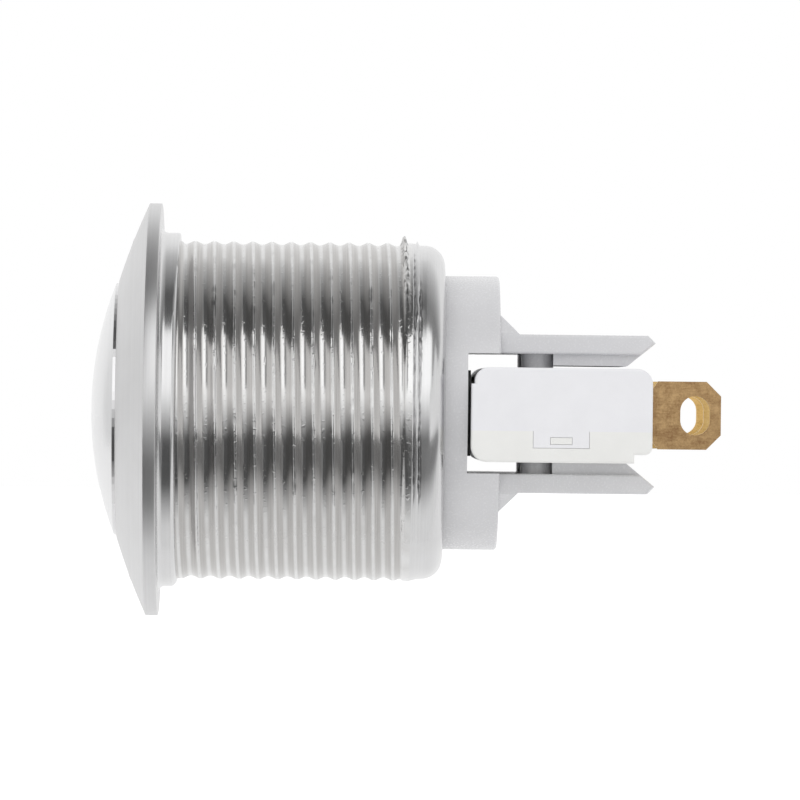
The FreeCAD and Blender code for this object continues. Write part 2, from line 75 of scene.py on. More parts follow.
def rolled_radius(radius, degrees, y):
    """The collar's rear edge and the end of the barrel, as the thread rolls leave them."""
    if radius > COLLAR_R or radius < TAIL_R:
        return radius
    if y <= 0:
        starting = settle((degrees - WEAR_STARTS) / (WEAR_FULL - WEAR_STARTS))
        ending = settle((WEAR_ENDS - degrees) / (WEAR_ENDS - WEAR_WANES))
        chamfer = COLLAR_WEAR * starting * ending
        return max(THREAD_R, radius - max(0.0, y + chamfer))
    angle = math.radians(degrees)
    for ring_y, half_width, depth, wander, start, stop in TORN_RINGS:
        place = Vector((TEAR_GRAIN * math.cos(angle), TEAR_GRAIN * math.sin(angle), ring_y))
        off = (y - ring_y + wander * noise.noise(place)) / half_width
        torn = settle((degrees - start) / TEAR_FADE) * settle((stop - degrees) / TEAR_FADE)
        torn = FAINT_TEAR + (1 - FAINT_TEAR) * torn
        radius -= depth * torn * (0.65 + 0.5 * noise.noise(place * 2.3)) * math.exp(-off * off)
    for lip_y, half_width, lip_degrees, half_angle, height in TORN_LIPS:
        off = (y - lip_y) / half_width
        turned_off = ((degrees - lip_degrees + 180) % 360 - 180) / half_angle
        radius += height * math.exp(-off * off - turned_off * turned_off)
    return radius


def lathe_mesh(name, profile, count, reshape):
    """Turned surface through (radius, y) points in millimetres. A rule may change each radius."""
    vertices = []
    for radius, y in profile:
        for i in range(count):
            angle = 2 * math.pi * i / count
            r = reshape(radius, math.degrees(angle), y)
            vertices.append((r * math.sin(angle) * MM, y * MM, r * math.cos(angle) * MM))
    faces = []
    for ring in range(len(profile) - 1):
        near = ring * count
        for i in range(count):
            after = (i + 1) % count
            faces.append((near + i, near + after, near + count + after, near + count + i))
    mesh = bpy.data.meshes.new(name)
    mesh.from_pydata(vertices, [], faces)
    return mesh


def arc_points(centre, radius, start, end, count):
    """Points on an arc in the (radius, y) plane, by angles in degrees from the radius axis."""
    angles = (math.radians(start + (end - start) * i / count) for i in range(count + 1))
    return [(centre[0] + radius * math.cos(a), centre[1] + radius * math.sin(a)) for a in angles]


def bowed(start, end, bulge, count):
    """Points on a shallow curve from start to end that stands off its chord by bulge."""
    chord = math.dist(start, end)
    away = ((end[1] - start[1]) / chord, (start[0] - end[0]) / chord)
    points = []
    for i in range(count + 1):
        t = i / count
        off = 4 * bulge * t * (1 - t)
        points.append((
            start[0] + (end[0] - start[0]) * t + away[0] * off,
            start[1] + (end[1] - start[1]) * t + away[1] * off,
        ))
    return points


def join(tree, value, socket):
    """Links a node's output to the socket, or sets the socket to a plain value."""
    if isinstance(value, bpy.types.NodeSocket):
        tree.links.new(value, socket)
    else:
        socket.default_value = value


def calc(tree, operation, *values):
    """One step of arithmetic in a node tree."""
    node = tree.nodes.new("ShaderNodeMath")
    node.operation = operation
    for value, socket in zip(values, node.inputs):
        join(tree, value, socket)
    return node.outputs[0]


def ease(tree, value, low, high, at_low, at_high):
    """Smooth step from at_low to at_high as value goes from low to high."""
    node = tree.nodes.new("ShaderNodeMapRange")
    node.interpolation_type = "SMOOTHSTEP"
    for item, socket in zip((value, low, high, at_low, at_high), node.inputs):
        join(tree, item, socket)
    return node.outputs[0]


def grain(tree, vector, scale, detail, rough=0.5):
    """Noise from 0 to 1 at so many grains a metre."""
    node = tree.nodes.new("ShaderNodeTexNoise")
    join(tree, vector, node.inputs["Vector"])
    node.inputs["Scale"].default_value = scale
    node.inputs["Detail"].default_value = detail
    node.inputs["Roughness"].default_value = rough
    return node.outputs[0]


def point(tree, x, y, z):
    """A vector from three values."""
    node = tree.nodes.new("ShaderNodeCombineXYZ")
    for value, socket in zip((x, y, z), node.inputs):
        join(tree, value, socket)
    return node.outputs[0]


def apart(tree, place):
    """The three values of a vector."""
    node = tree.nodes.new("ShaderNodeSeparateXYZ")
    join(tree, place, node.inputs[0])
    return node.outputs


def shades(tree, factor, *stops):
    """Colour ramp through (place, grey or colour) stops."""
    node = tree.nodes.new("ShaderNodeValToRGB")
    join(tree, factor, node.inputs[0])
    elements = node.color_ramp.elements
    while len(elements) < len(stops):
        elements.new(1.0)
    for element, (place, tone) in zip(elements, stops):
        element.position = place
        element.color = (*tone, 1.0) if isinstance(tone, tuple) else (tone, tone, tone, 1.0)
    return node.outputs[0]


def blended(tree, factor, first, second):
    """Colour that goes from first to second as factor goes from 0 to 1."""
    node = tree.nodes.new("ShaderNodeMix")
    node.data_type = "RGBA"
    join(tree, factor, node.inputs[0])
    for value, socket in zip((first, second), node.inputs[6:8]):
        join(tree, (*value, 1.0) if isinstance(value, tuple) else value, socket)
    return node.outputs[2]


def relief(tree, height, depth, before=None):
    """Bump from a 0 to 1 height that stands for that many metres."""
    node = tree.nodes.new("ShaderNodeBump")
    node.inputs["Distance"].default_value = depth
    join(tree, height, node.inputs["Height"])
    if before:
        join(tree, before, node.inputs["Normal"])
    return node.outputs[0]


def finish_tree(name):
    """A material with its tree, its Principled shader and the piece's own coordinates."""
    material = bpy.data.materials.new(name)
    material.use_nodes = True
    tree = material.node_tree
    shader = next(n for n in tree.nodes if n.type == "BSDF_PRINCIPLED")
    place = tree.nodes.new("ShaderNodeTexCoord").outputs["Object"]
    return material, tree, shader, place


def lathe_lines(tree, place, scale):
    """Fine noise round the Y axis, as a cutting tool leaves it, that calms down at the centre."""
    x, y, z = apart(tree, place)
    radius = calc(tree, "SQRT", calc(tree, "MULTIPLY_ADD", x, x, calc(tree, "MULTIPLY", z, z)))
    lines = calc(tree, "SUBTRACT", grain(tree, point(tree, radius, y, 0.0), scale, 3.0), 0.5)
    return calc(tree, "MULTIPLY_ADD", lines, ease(tree, radius, 0.2 * MM, 1.5 * MM, 0.0, 1.0), 0.5)


def turned_finish(name, rough, deep, pale, satin=0.0, satin_behind=0.0):
    """Turned steel: fine lathe lines, faint smears, and a satin front as far back as satin_behind."""
    material, tree, shader, place = finish_tree(name)
    lines = lathe_lines(tree, place, 9000.0)
    smear = grain(tree, place, 350.0, 4.0)
    tone = calc(tree, "ADD", calc(tree, "MULTIPLY", lines, 0.5), calc(tree, "MULTIPLY", smear, 0.5))
    join(tree, shades(tree, tone, (0.3, deep), (0.7, pale)), shader.inputs["Base Color"])
    shader.inputs["Metallic"].default_value = 1.0
    gloss = calc(tree, "MULTIPLY_ADD", smear, 0.1, rough - 0.05)
    if satin:
        front = ease(tree, apart(tree, place)[1], satin_behind - 0.1 * MM, satin_behind, satin, 0.0)
        gloss = calc(tree, "ADD", gloss, front)
    join(tree, gloss, shader.inputs["Roughness"])
    join(tree, relief(tree, lines, 1.2e-6), shader.inputs["Normal"])
    return material


def rolled_finish(name):
    """Thread-rolled steel, burnished on crest and root and streaked on the flanks. Crest and root are
    painted brighter and the flanks darker, for the burnish and as painted reflection bands.
    """
    material, tree, shader, place = finish_tree(name)
    burnish_and_painted_reflection = tree.nodes.new("ShaderNodeAttribute")
    burnish_and_painted_reflection.attribute_name = "burnish_and_painted_reflection"
    burnish_and_painted_reflection = burnish_and_painted_reflection.outputs["Fac"]
    lines = lathe_lines(tree, place, 11000.0)
    smear = grain(tree, place, 500.0, 4.0)
    specks = grain(tree, place, 3800.0, 2.0)
    # Dull flank colour and bright crest and root colour: burnish, and also painted reflection bands.
    dull = shades(tree, lines, (0.3, (0.42, 0.41, 0.40)), (0.7, (0.50, 0.49, 0.48)))
    bright = shades(tree, smear, (0.3, (0.62, 0.615, 0.61)), (0.7, (0.70, 0.70, 0.698)))
    join(tree, blended(tree, burnish_and_painted_reflection, dull, bright), shader.inputs["Base Color"])
    shader.inputs["Metallic"].default_value = 1.0
    join(tree, calc(tree, "MULTIPLY_ADD", burnish_and_painted_reflection, -0.06, calc(tree, "MULTIPLY_ADD", smear, 0.1, 0.14)),
         shader.inputs["Roughness"])
    pitted = calc(tree, "MULTIPLY", ease(tree, specks, 0.55, 0.75, 0.0, 1.0), burnish_and_painted_reflection)
    join(tree, relief(tree, pitted, 9e-6, relief(tree, lines, 1.5e-6)), shader.inputs["Normal"])
    return material


turned_steel = turned_finish(
    "turned_steel", 0.2, (0.60, 0.598, 0.60), (0.68, 0.68, 0.684), satin=0.18, satin_behind=-1.15 * MM)
rolled_steel = rolled_finish("rolled_steel")

# Profile of the bush as (radius, y): the torn end of the barrel, the rounded tail, the bores,
# the domed front of the bezel, the flange and the collar.
TAIL_END = 17.2
TAIL_ROUND = 1.3
LIP_R, LIP_FRONT = 8.95, 16.2
COUNTERBORE_R, HOLDER_FRONT = 9.4, 14.2
MAIN_BORE_R, SHOULDER = 9.0, 1.8
FRONT_BORE_R = 8.35
RIM_R = 13.32
RIM_ROUND = 0.08
FILLET_R = 0.45
bush_profile = [(THREAD_R, THREAD_END), (THREAD_R, 15.09), (10.99, 15.12), (10.985, 15.15)]
bush_profile += [(10.98, 15.18), (10.97, 15.21), (10.96, 15.24), (10.95, 15.28), (10.94, 15.32)]
bush_profile += [(10.93, 15.36), (10.92, 15.40), (10.91, 15.44), (10.90, 15.48), (10.89, 15.51)]
bush_profile += [(10.88, 15.54), (10.87, 15.57), (10.86, 15.62), (TAIL_R, 15.70)]
bush_profile += arc_points((TAIL_R - TAIL_ROUND, TAIL_END - TAIL_ROUND), TAIL_ROUND, 0, 90, 12)
bush_profile += [(8.98, TAIL_END), (LIP_R, 17.17), (LIP_R, LIP_FRONT)]
bush_profile += [(COUNTERBORE_R, LIP_FRONT), (COUNTERBORE_R, HOLDER_FRONT), (MAIN_BORE_R, HOLDER_FRONT)]
bush_profile += [(MAIN_BORE_R, SHOULDER), (FRONT_BORE_R, SHOULDER), (FRONT_BORE_R, -3.82)]
bush_profile += bowed((8.45, -3.92), (RIM_R, -2.04), 0.08, 16)
bush_profile += arc_points((RIM_R, -1.96), RIM_ROUND, -60, 0, 3)
bush_profile += arc_points((RIM_R, -1.28), RIM_ROUND, 0, 90, 3)
bush_profile += arc_points((COLLAR_R + FILLET_R, -0.75), FILLET_R, -90, -180, 8)
bush_profile += [(COLLAR_R, -0.06 * i) for i in range(11, 0, -1)]
bush_profile += [(11.45, 0.0), (THREAD_R, 0.0)]
turned_faces = lathe_mesh("bush_turned_faces", bush_profile, BUSH_SEGMENTS, rolled_radius)
turned_faces.materials.append(turned_steel)

# Half a pitch of the rolled form, from the seam in the crest to the middle of the root:
# place along the pitch, height above the root, and how burnished it is. The last column also sets how
# much brighter than the flanks it is painted, as a painted reflection band.
HALF_FORM = (
    (0.0, 0.84, 1.0), (0.045, 1.0, 1.0), (0.075, 0.95, 0.6), (0.12, 0.8, 0.0), (0.2, 0.54, 0.0),
    (0.28, 0.3, 0.0), (0.36, 0.11, 0.1), (0.43, 0.015, 0.8), (0.5, 0.0, 1.0),
)
ROWS_A_TURN = 2 * (len(HALF_FORM) - 1)
TURNS_AHEAD = 2.0
# The burr's core and reach across the thread, and its run in turns from the top of the barrel.
BURR_CORE, BURR_REACH = 0.04 * MM, 0.26 * MM
BURR_STARTS, BURR_FULL, BURR_WANES, BURR_ENDS = -0.04, 0.0, 0.02, 0.17

thread = bpy.data.node_groups.new("rolled_thread", "GeometryNodeTree")
thread_inputs = {}
for socket_name, socket_kind, value in (
    ("Turned faces", "NodeSocketGeometry", None),
    ("Crest radius", "NodeSocketFloat", THREAD_R * MM),
    ("Length", "NodeSocketFloat", THREAD_END * MM),
    ("Pitch", "NodeSocketFloat", THREAD_PITCH * MM),
    ("Depth", "NodeSocketFloat", 0.2 * MM),
    ("First crest", "NodeSocketFloat", 0.95 * MM),
    ("Turns", "NodeSocketInt", 14),
    ("Columns", "NodeSocketInt", BUSH_SEGMENTS),
    ("Burr height", "NodeSocketFloat", 0.5 * MM),
    ("Burr place", "NodeSocketFloat", 14.52 * MM),
    ("Run-in", "NodeSocketFloat", 0.35 * MM),
    ("Land starts", "NodeSocketFloat", 14.41 * MM),
    ("Land full", "NodeSocketFloat", 14.71 * MM),
    ("Dent depth", "NodeSocketFloat", 0.03 * MM),
    ("Steel", "NodeSocketMaterial", rolled_steel),
):
    socket = thread.interface.new_socket(socket_name, in_out="INPUT", socket_type=socket_kind)
    thread_inputs[socket.identifier] = value
thread.interface.new_socket("Bush", in_out="OUTPUT", socket_type="NodeSocketGeometry")
given = thread.nodes.new("NodeGroupInput").outputs


def form_curve(tree, column, row_part):
    """One column of the rolled form, as a curve over the rows of a turn."""
    values = [row[column] for row in HALF_FORM]
    rest = [1 - v for v in values[-2::-1]] if column == 0 else values[-2::-1]
    node = tree.nodes.new("ShaderNodeFloatCurve")
    join(tree, row_part, node.inputs["Value"])
    knots = node.mapping.curves[0].points
    for i, value in enumerate(values + rest):
        if 0 < i < ROWS_A_TURN:
            knots.new(i / ROWS_A_TURN, value)
    knots[0].location = (0.0, values[0])
    knots[-1].location = (1.0, rest[-1])
    for knot in knots:
        knot.handle_type = "VECTOR"
    node.mapping.update()
    return node.outputs[0]


sheet = thread.nodes.new("GeometryNodeMeshGrid")
join(thread, 1.0, sheet.inputs["Size X"])
join(thread, 1.0, sheet.inputs["Size Y"])
join(thread, calc(thread, "ADD", given["Columns"], 1.0), sheet.inputs["Vertices X"])
rows = calc(thread, "MULTIPLY", given["Turns"], ROWS_A_TURN)
join(thread, calc(thread, "ADD", rows, 1.0), sheet.inputs["Vertices Y"])
across_sheet, along_sheet, _ = apart(thread, thread.nodes.new("GeometryNodeInputPosition").outputs[0])
turn_part = calc(thread, "ADD", across_sheet, 0.5)
row = calc(thread, "ROUND", calc(thread, "MULTIPLY", calc(thread, "ADD", along_sheet, 0.5), rows))
whole_turns = calc(thread, "FLOOR", calc(thread, "DIVIDE", row, ROWS_A_TURN))
row_part = calc(thread, "SUBTRACT", calc(thread, "DIVIDE", row, ROWS_A_TURN), whole_turns)
form_height = form_curve(thread, 1, row_part)
turns_on = calc(thread, "SUBTRACT", whole_turns, TURNS_AHEAD)
turns_on = calc(thread, "ADD", turns_on, form_curve(thread, 0, row_part))
turns_on = calc(thread, "ADD", turns_on, turn_part)
helix_y = calc(thread, "MULTIPLY_ADD", turns_on, given["Pitch"], given["First crest"])
barrel_y = calc(thread, "MINIMUM", calc(thread, "MAXIMUM", helix_y, 0.0), given["Length"])
angle = calc(thread, "MULTIPLY", turn_part, 2 * math.pi)
side_x = calc(thread, "SINE", angle)
side_z = calc(thread, "COSINE", angle)
on_barrel = point(thread, calc(thread, "MULTIPLY", side_x, given["Crest radius"]), barrel_y,
                  calc(thread, "MULTIPLY", side_z, given["Crest radius"]))
tear = grain(thread, on_barrel, 2300.0, 3.0)
nick = grain(thread, on_barrel, 1400.0, 2.0)
land = ease(thread, barrel_y, given["Land starts"], given["Land full"], 0.0, 1.0)
run_in = ease(thread, barrel_y, 0.0, given["Run-in"], 0.0, 1.0)
run = calc(thread, "MULTIPLY", run_in, calc(thread, "SUBTRACT", 1.0, land))
cut = calc(thread, "MULTIPLY", calc(thread, "SUBTRACT", 1.0, form_height), given["Depth"])
on_crest = ease(thread, form_height, 0.7, 1.0, 0.0, 1.0)
dents = calc(thread, "MULTIPLY", on_crest, ease(thread, nick, 0.55, 0.75, 0.0, given["Dent depth"]))
cut = calc(thread, "MULTIPLY", calc(thread, "ADD", cut, dents), run)
from_top = calc(thread, "WRAP", turn_part, 0.5, -0.5)
burr_y = calc(thread, "MULTIPLY_ADD", from_top, given["Pitch"], given["Burr place"])
burr_off = calc(thread, "ABSOLUTE", calc(thread, "SUBTRACT", barrel_y, burr_y))
burr_across = ease(thread, burr_off, BURR_CORE, BURR_REACH, 1.0, 0.0)
burr_rises = ease(thread, from_top, BURR_STARTS, BURR_FULL, 0.0, 1.0)
burr_falls = ease(thread, from_top, BURR_WANES, BURR_ENDS, 1.0, 0.0)
burr = calc(thread, "MULTIPLY", burr_across, calc(thread, "MULTIPLY", burr_rises, burr_falls))
ragged = calc(thread, "MULTIPLY", ease(thread, tear, 0.4, 0.62, 0.1, 1.0), given["Burr height"])
thread_r = calc(thread, "SUBTRACT", given["Crest radius"], cut)
thread_r = calc(thread, "MULTIPLY_ADD", burr, ragged, thread_r)
# Stores how bright each point is painted: burnish on crest, root and land, and painted reflection bands
# against the darker flanks.
mark = thread.nodes.new("GeometryNodeStoreNamedAttribute")
mark.data_type = "FLOAT"
mark.domain = "POINT"
join(thread, sheet.outputs["Mesh"], mark.inputs["Geometry"])
join(thread, "burnish_and_painted_reflection", mark.inputs["Name"])
join(thread, calc(thread, "MAXIMUM", form_curve(thread, 2, row_part), land), mark.inputs["Value"])
roll = thread.nodes.new("GeometryNodeSetPosition")
join(thread, mark.outputs[0], roll.inputs["Geometry"])
join(thread, point(thread, calc(thread, "MULTIPLY", side_x, thread_r), barrel_y,
                   calc(thread, "MULTIPLY", side_z, thread_r)), roll.inputs["Position"])
paint = thread.nodes.new("GeometryNodeSetMaterial")
join(thread, roll.outputs[0], paint.inputs["Geometry"])
join(thread, given["Steel"], paint.inputs["Material"])
both = thread.nodes.new("GeometryNodeJoinGeometry")
join(thread, paint.outputs[0], both.inputs[0])
join(thread, given["Turned faces"], both.inputs[0])
weld = thread.nodes.new("GeometryNodeMergeByDistance")
join(thread, both.outputs[0], weld.inputs["Geometry"])
join(thread, 0.003 * MM, weld.inputs["Distance"])
real = thread.nodes.new("GeometryNodeRealizeInstances")
join(thread, weld.outputs[0], real.inputs[0])
join(thread, real.outputs[0], thread.nodes.new("NodeGroupOutput").inputs[0])


def grown(name, mesh, tree, values):
    """The plain mesh object that a Geometry Nodes tree makes with these inputs."""
    seed = bpy.data.objects.new(name + "_seed", mesh)
    bpy.context.scene.collection.objects.link(seed)
    modifier = seed.modifiers.new(name, "NODES")
    modifier.node_group = tree
    for identifier, value in values.items():
        if value is not None:
            modifier[identifier] = value
    ready = seed.evaluated_get(bpy.context.evaluated_depsgraph_get())
    made = bpy.data.meshes.new_from_object(ready)
    bpy.data.objects.remove(seed)
    piece = bpy.data.objects.new(name, made)
    bpy.context.scene.collection.objects.link(piece)
    return piece


def smooth(piece, degrees):
    """Soft shading, with a sharp line wherever two faces meet at more than this angle."""
    piece.data.polygons.foreach_set("use_smooth", [True] * len(piece.data.polygons))
    piece.data.set_sharp_from_angle(angle=math.radians(degrees))


bush = grown("bush_with_thread", turned_faces, thread, thread_inputs)
smooth(bush, 42)
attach(bush, "fixed")
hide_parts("bush")


# Button: a domed head turned from the same steel and polished on the front. It slides in the
# bush's front bore, and its own flange keeps it from coming out.
def dress(node, material):
    """Gives a CAD node its finish."""
    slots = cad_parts[node].data.materials
    slots.clear()
    slots.append(material)


def welded_copy(name, node, material):
    """Copy of a CAD node with its triangles joined, to be shaded as one surface."""
    triangles = bmesh.new()
    triangles.from_mesh(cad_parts[node].data)
    bmesh.ops.remove_doubles(triangles, verts=triangles.verts, dist=0.001 * MM)
    mesh = bpy.data.meshes.new(name)
    triangles.to_mesh(mesh)
    triangles.free()
    mesh.materials.append(material)
    piece = bpy.data.objects.new(name, mesh)
    bpy.context.scene.collection.objects.link(piece)
    return piece


polished_steel = turned_finish("polished_steel", 0.16, (0.66, 0.66, 0.665), (0.74, 0.74, 0.745))
button = welded_copy("polished_button", "button", polished_steel)
smooth(button, 30)
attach(button, "pressed")
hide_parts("button")


# O-ring of black nitrile rubber, moulded with a faint matt grain. It sits in the groove of the
# button and seals it against the bush's bore.
def rubber_finish(name):
    """Black rubber with a matt bloom and a fine grain."""
    material, tree, shader, place = finish_tree(name)
    bloom = grain(tree, place, 900.0, 4.0)
    join(tree, shades(tree, bloom, (0.3, 0.010), (0.7, 0.022)), shader.inputs["Base Color"])
    join(tree, calc(tree, "MULTIPLY_ADD", bloom, 0.25, 0.5), shader.inputs["Roughness"])
    join(tree, relief(tree, grain(tree, place, 9000.0, 2.0), 6e-6), shader.inputs["Normal"])
    return material


seal_rubber = rubber_finish("seal_rubber")
dress("button_o_ring", seal_rubber)


# Pusher, turned from natural acetal. It slides freely through the holder and carries the press
# from the button to the switch.
def moulded_finish(name, deep, pale, rough, grain_depth):
    """Moulded plastic: faint flow clouds in the colour, a fine eroded grain and soft gloss."""
    material, tree, shader, place = finish_tree(name)
    clouds = grain(tree, place, 260.0, 5.0, 0.6)
    skin = grain(tree, place, 7000.0, 2.0)
    join(tree, shades(tree, clouds, (0.3, deep), (0.7, pale)), shader.inputs["Base Color"])
    join(tree, calc(tree, "MULTIPLY_ADD", skin, 0.16, rough - 0.08), shader.inputs["Roughness"])
    join(tree, relief(tree, skin, grain_depth), shader.inputs["Normal"])
    return material


pusher_plastic = moulded_finish(
    "pusher_plastic", (0.70, 0.69, 0.65), (0.78, 0.77, 0.74), rough=0.4, grain_depth=2e-6)
dress("pusher", pusher_plastic)


# Return spring, coiled from spring-steel wire. It stands in a pocket of the holder and pushes on the
# pusher's flange. In the switch its front end goes with the pusher and its rear end stays with the
# holder; here the coil is a plain copy that neither moves nor bends.
spring_steel = turned_finish("spring_steel", 0.25, (0.50, 0.49, 0.48), (0.62, 0.615, 0.61))
coil = welded_copy("return_spring_coil", "return_spring", spring_steel)
smooth(coil, 65)
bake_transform(coil)
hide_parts("return_spring")


# Holder, moulded in pale grey glass-filled nylon. Its round body is rolled into the back of the
# bush, and its two arms clip over the switch with pegs.
holder_plastic = moulded_finish(
    "holder_plastic", (0.66, 0.66, 0.675), (0.72, 0.72, 0.735), rough=0.26, grain_depth=1.5e-6)
dress("holder", holder_plastic)


# Gasket, cut from the same black rubber as the O-ring. It lies in the bottom of the holder's slot,
# under the front of the switch.
dress("switch_gasket", seal_rubber)


# Switch case: the upper half of the switch, moulded in white polyester, with the lugs, contacts and
# plunger inside. The upper arm's peg snaps into it, and a tab at each end holds the cover.
case_plastic = moulded_finish(
    "case_plastic", (0.84, 0.84, 0.865), (0.89, 0.89, 0.915), rough=0.34, grain_depth=2e-6)
dress("switch_case", case_plastic)


# Plunger of the switch, moulded in the pusher's acetal. It comes through the front of the case
# and rests on the snap blade.
dress("switch_plunger", pusher_plastic)


# Solder lugs and the arms they carry, stamped from brass strip. The sheared edges stay bright.
# The outer lug has been handled most, and its faces are tarnished brown.
def strip_finish(name, stain, dull, bright, rough, sheared=None):
    """Stamped strip metal with a mottled tarnish and rolling marks along its length."""
    material, tree, shader, place = finish_tree(name)
    x, y, z = apart(tree, place)
    blotch = grain(tree, place, 1300.0, 7.0, 0.7)
    specks = grain(tree, place, 9000.0, 2.0)
    drawn_out = point(tree, calc(tree, "MULTIPLY", z, 9.0), y, calc(tree, "MULTIPLY", x, 9.0))
    rolled = grain(tree, drawn_out, 1500.0, 3.0)
    tone = calc(tree, "MULTIPLY_ADD", rolled, 0.2, calc(tree, "MULTIPLY", blotch, 0.6))
    tone = calc(tree, "MULTIPLY_ADD", specks, 0.2, tone)
    colour = shades(tree, tone, (0.38, stain), (0.5, dull), (0.62, bright))
    if sheared:
        normal = tree.nodes.new("ShaderNodeNewGeometry").outputs["True Normal"]
        turned_away = ease(tree, calc(tree, "ABSOLUTE", apart(tree, normal)[0]), 0.4, 0.6, 1.0, 0.0)
        colour = blended(tree, turned_away, colour, sheared)
    join(tree, colour, shader.inputs["Base Color"])
    shader.inputs["Metallic"].default_value = 1.0
    join(tree, calc(tree, "MULTIPLY_ADD", blotch, 0.2, rough - 0.1), shader.inputs["Roughness"])
    join(tree, relief(tree, rolled, 3e-6), shader.inputs["Normal"])
    return material


SHEARED_BRASS = (0.82, 0.60, 0.26)
fresh_brass = strip_finish(
    "fresh_brass", (0.62, 0.42, 0.15), (0.78, 0.55, 0.22), (0.86, 0.64, 0.30), 0.3, SHEARED_BRASS)
tarnished_brass = strip_finish(
    "tarnished_brass", (0.30, 0.17, 0.08), (0.45, 0.29, 0.14), (0.60, 0.40, 0.20), 0.36, SHEARED_BRASS)
for lug in ("common_terminal", "normally_open_terminal"):
    dress(lug, fresh_brass)
dress("normally_closed_terminal", tarnished_brass)


# Snap blade, cut from thin beryllium bronze and set with a bowed tongue that flips it over. Its
# knuckle turns in a groove of the common lug.
blade_bronze = strip_finish(
    "blade_bronze", (0.45, 0.26, 0.13), (0.66, 0.42, 0.24), (0.76, 0.52, 0.31), 0.28)
dress("snap_blade", blade_bronze)


# Contacts: silver rivets, upset by a press. One goes through the end of the blade, and one sits on
# the arm of each of the other two lugs.
contact_silver = strip_finish(
    "contact_silver", (0.55, 0.53, 0.50), (0.80, 0.79, 0.76), (0.90, 0.89, 0.87), 0.3)
for rivet in ("moving_contact", "normally_open_contact", "normally_closed_contact"):
    dress(rivet, contact_silver)


# Switch cover: the lower half of the switch, moulded in a slightly warmer white than the case. The
# case's tabs latch over a catch at each of its ends.
cover_plastic = moulded_finish(
    "cover_plastic", (0.85, 0.85, 0.83), (0.90, 0.90, 0.88), rough=0.34, grain_depth=2e-6)
dress("switch_cover", cover_plastic)


# Floor: a plain sheet of pale painted board, well under the part. It looks white where nothing
# shades it, and keeps the part's shadow.
def studio_sheet(name, corners, material):
    """A flat sheet that belongs to the studio."""
    mesh = bpy.data.meshes.new(name)
    mesh.from_pydata(corners, [], [(0, 1, 2, 3)])
    mesh.materials.append(material)
    studio_object = bpy.data.objects.new(name, mesh)
    bpy.context.scene.collection.objects.link(studio_object)
    return studio_object


def seen_directly(tree, by_camera=1.0, by_gloss=1.0):
    """Strength for rays from the camera, and for those from a glossy surface or through a clear one."""
    rays = tree.nodes.new("ShaderNodeLightPath").outputs
    mirrored = calc(tree, "MAXIMUM", rays["Is Glossy Ray"], rays["Is Transmission Ray"])
    return calc(tree, "MAXIMUM", calc(tree, "MULTIPLY", rays["Is Camera Ray"], by_camera),
                calc(tree, "MULTIPLY", mirrored, by_gloss))


FLOOR_Z = -0.045
FLOOR_HALF = 3.0
floor_paint, floor_tree, floor_shader, floor_place = finish_tree("floor_paint")
floor_shader.inputs["Roughness"].default_value = 0.9
floor_clouds = grain(floor_tree, floor_place, 40.0, 2.0)
floor_colour = shades(floor_tree, floor_clouds, (0.3, 0.88), (0.7, 0.90))
join(floor_tree, floor_colour, floor_shader.inputs["Base Color"])
floor_shader.inputs["Emission Color"].default_value = (1.0, 1.0, 1.0, 1.0)
join(floor_tree, seen_directly(floor_tree, 0.34, 0.16), floor_shader.inputs["Emission Strength"])
floor_signs = ((-1, -1), (1, -1), (1, 1), (-1, 1))
floor_corners = [(x * FLOOR_HALF, y * FLOOR_HALF, FLOOR_Z) for x, y in floor_signs]
studio_sheet("floor", floor_corners, floor_paint)


# Cards that only reflections see, for the bands that a studio puts on metal. Dark ones hang overhead
# and stand low in front, and fade out at their far edges. The bright ones high in front show the soft
# box, and two more close off the lug end and the button end.
def card_paint(name, tone, *fades):
    """Plain card, or the brightest of its fades: axis, two places along it and the tones there."""
    material = bpy.data.materials.new(name)
    material.use_nodes = True
    tree = material.node_tree
    tree.nodes.clear()
    glow = tree.nodes.new("ShaderNodeEmission")
    strength = tone
    if fades:
        place = apart(tree, tree.nodes.new("ShaderNodeTexCoord").outputs["Object"])
        for axis, *stops in fades:
            fade = tree.nodes.new("ShaderNodeMapRange")
            for item, socket in zip((place[axis], *stops), fade.inputs):
                join(tree, item, socket)
            strength = calc(tree, "MAXIMUM", strength, fade.outputs[0])
    join(tree, strength, glow.inputs["Strength"])
    join(tree, glow.outputs[0], tree.nodes.new("ShaderNodeOutputMaterial").inputs[0])
    return material


def reflection_card(name, corners, material):
    """Sheet that neither the camera nor soft light sees."""
    card = studio_sheet(name, corners, material)
    card.visible_camera = False
    card.visible_diffuse = False
    card.visible_shadow = False
    card.visible_transmission = False


def long_card(name, low_edge, high_edge, y_range, material):
    """Card that runs along Y between two edges given as (x, z)."""
    (x0, z0), (x1, z1), (y0, y1) = low_edge, high_edge, y_range
    reflection_card(name, [(x0, y0, z0), (x0, y1, z0), (x1, y1, z1), (x1, y0, z1)], material)


X_AXIS, Y_AXIS, Z_AXIS = range(3)
LOW_FOOT = (0.0, -0.0447)
LOW_TOP = (0.1, -0.0344)
BOX_FOOT = (0.6227, 0.1669)
BOX_TOP = (0.3766, 0.4993)
BOX_TOP_RIGHT = (0.33, 0.5622)
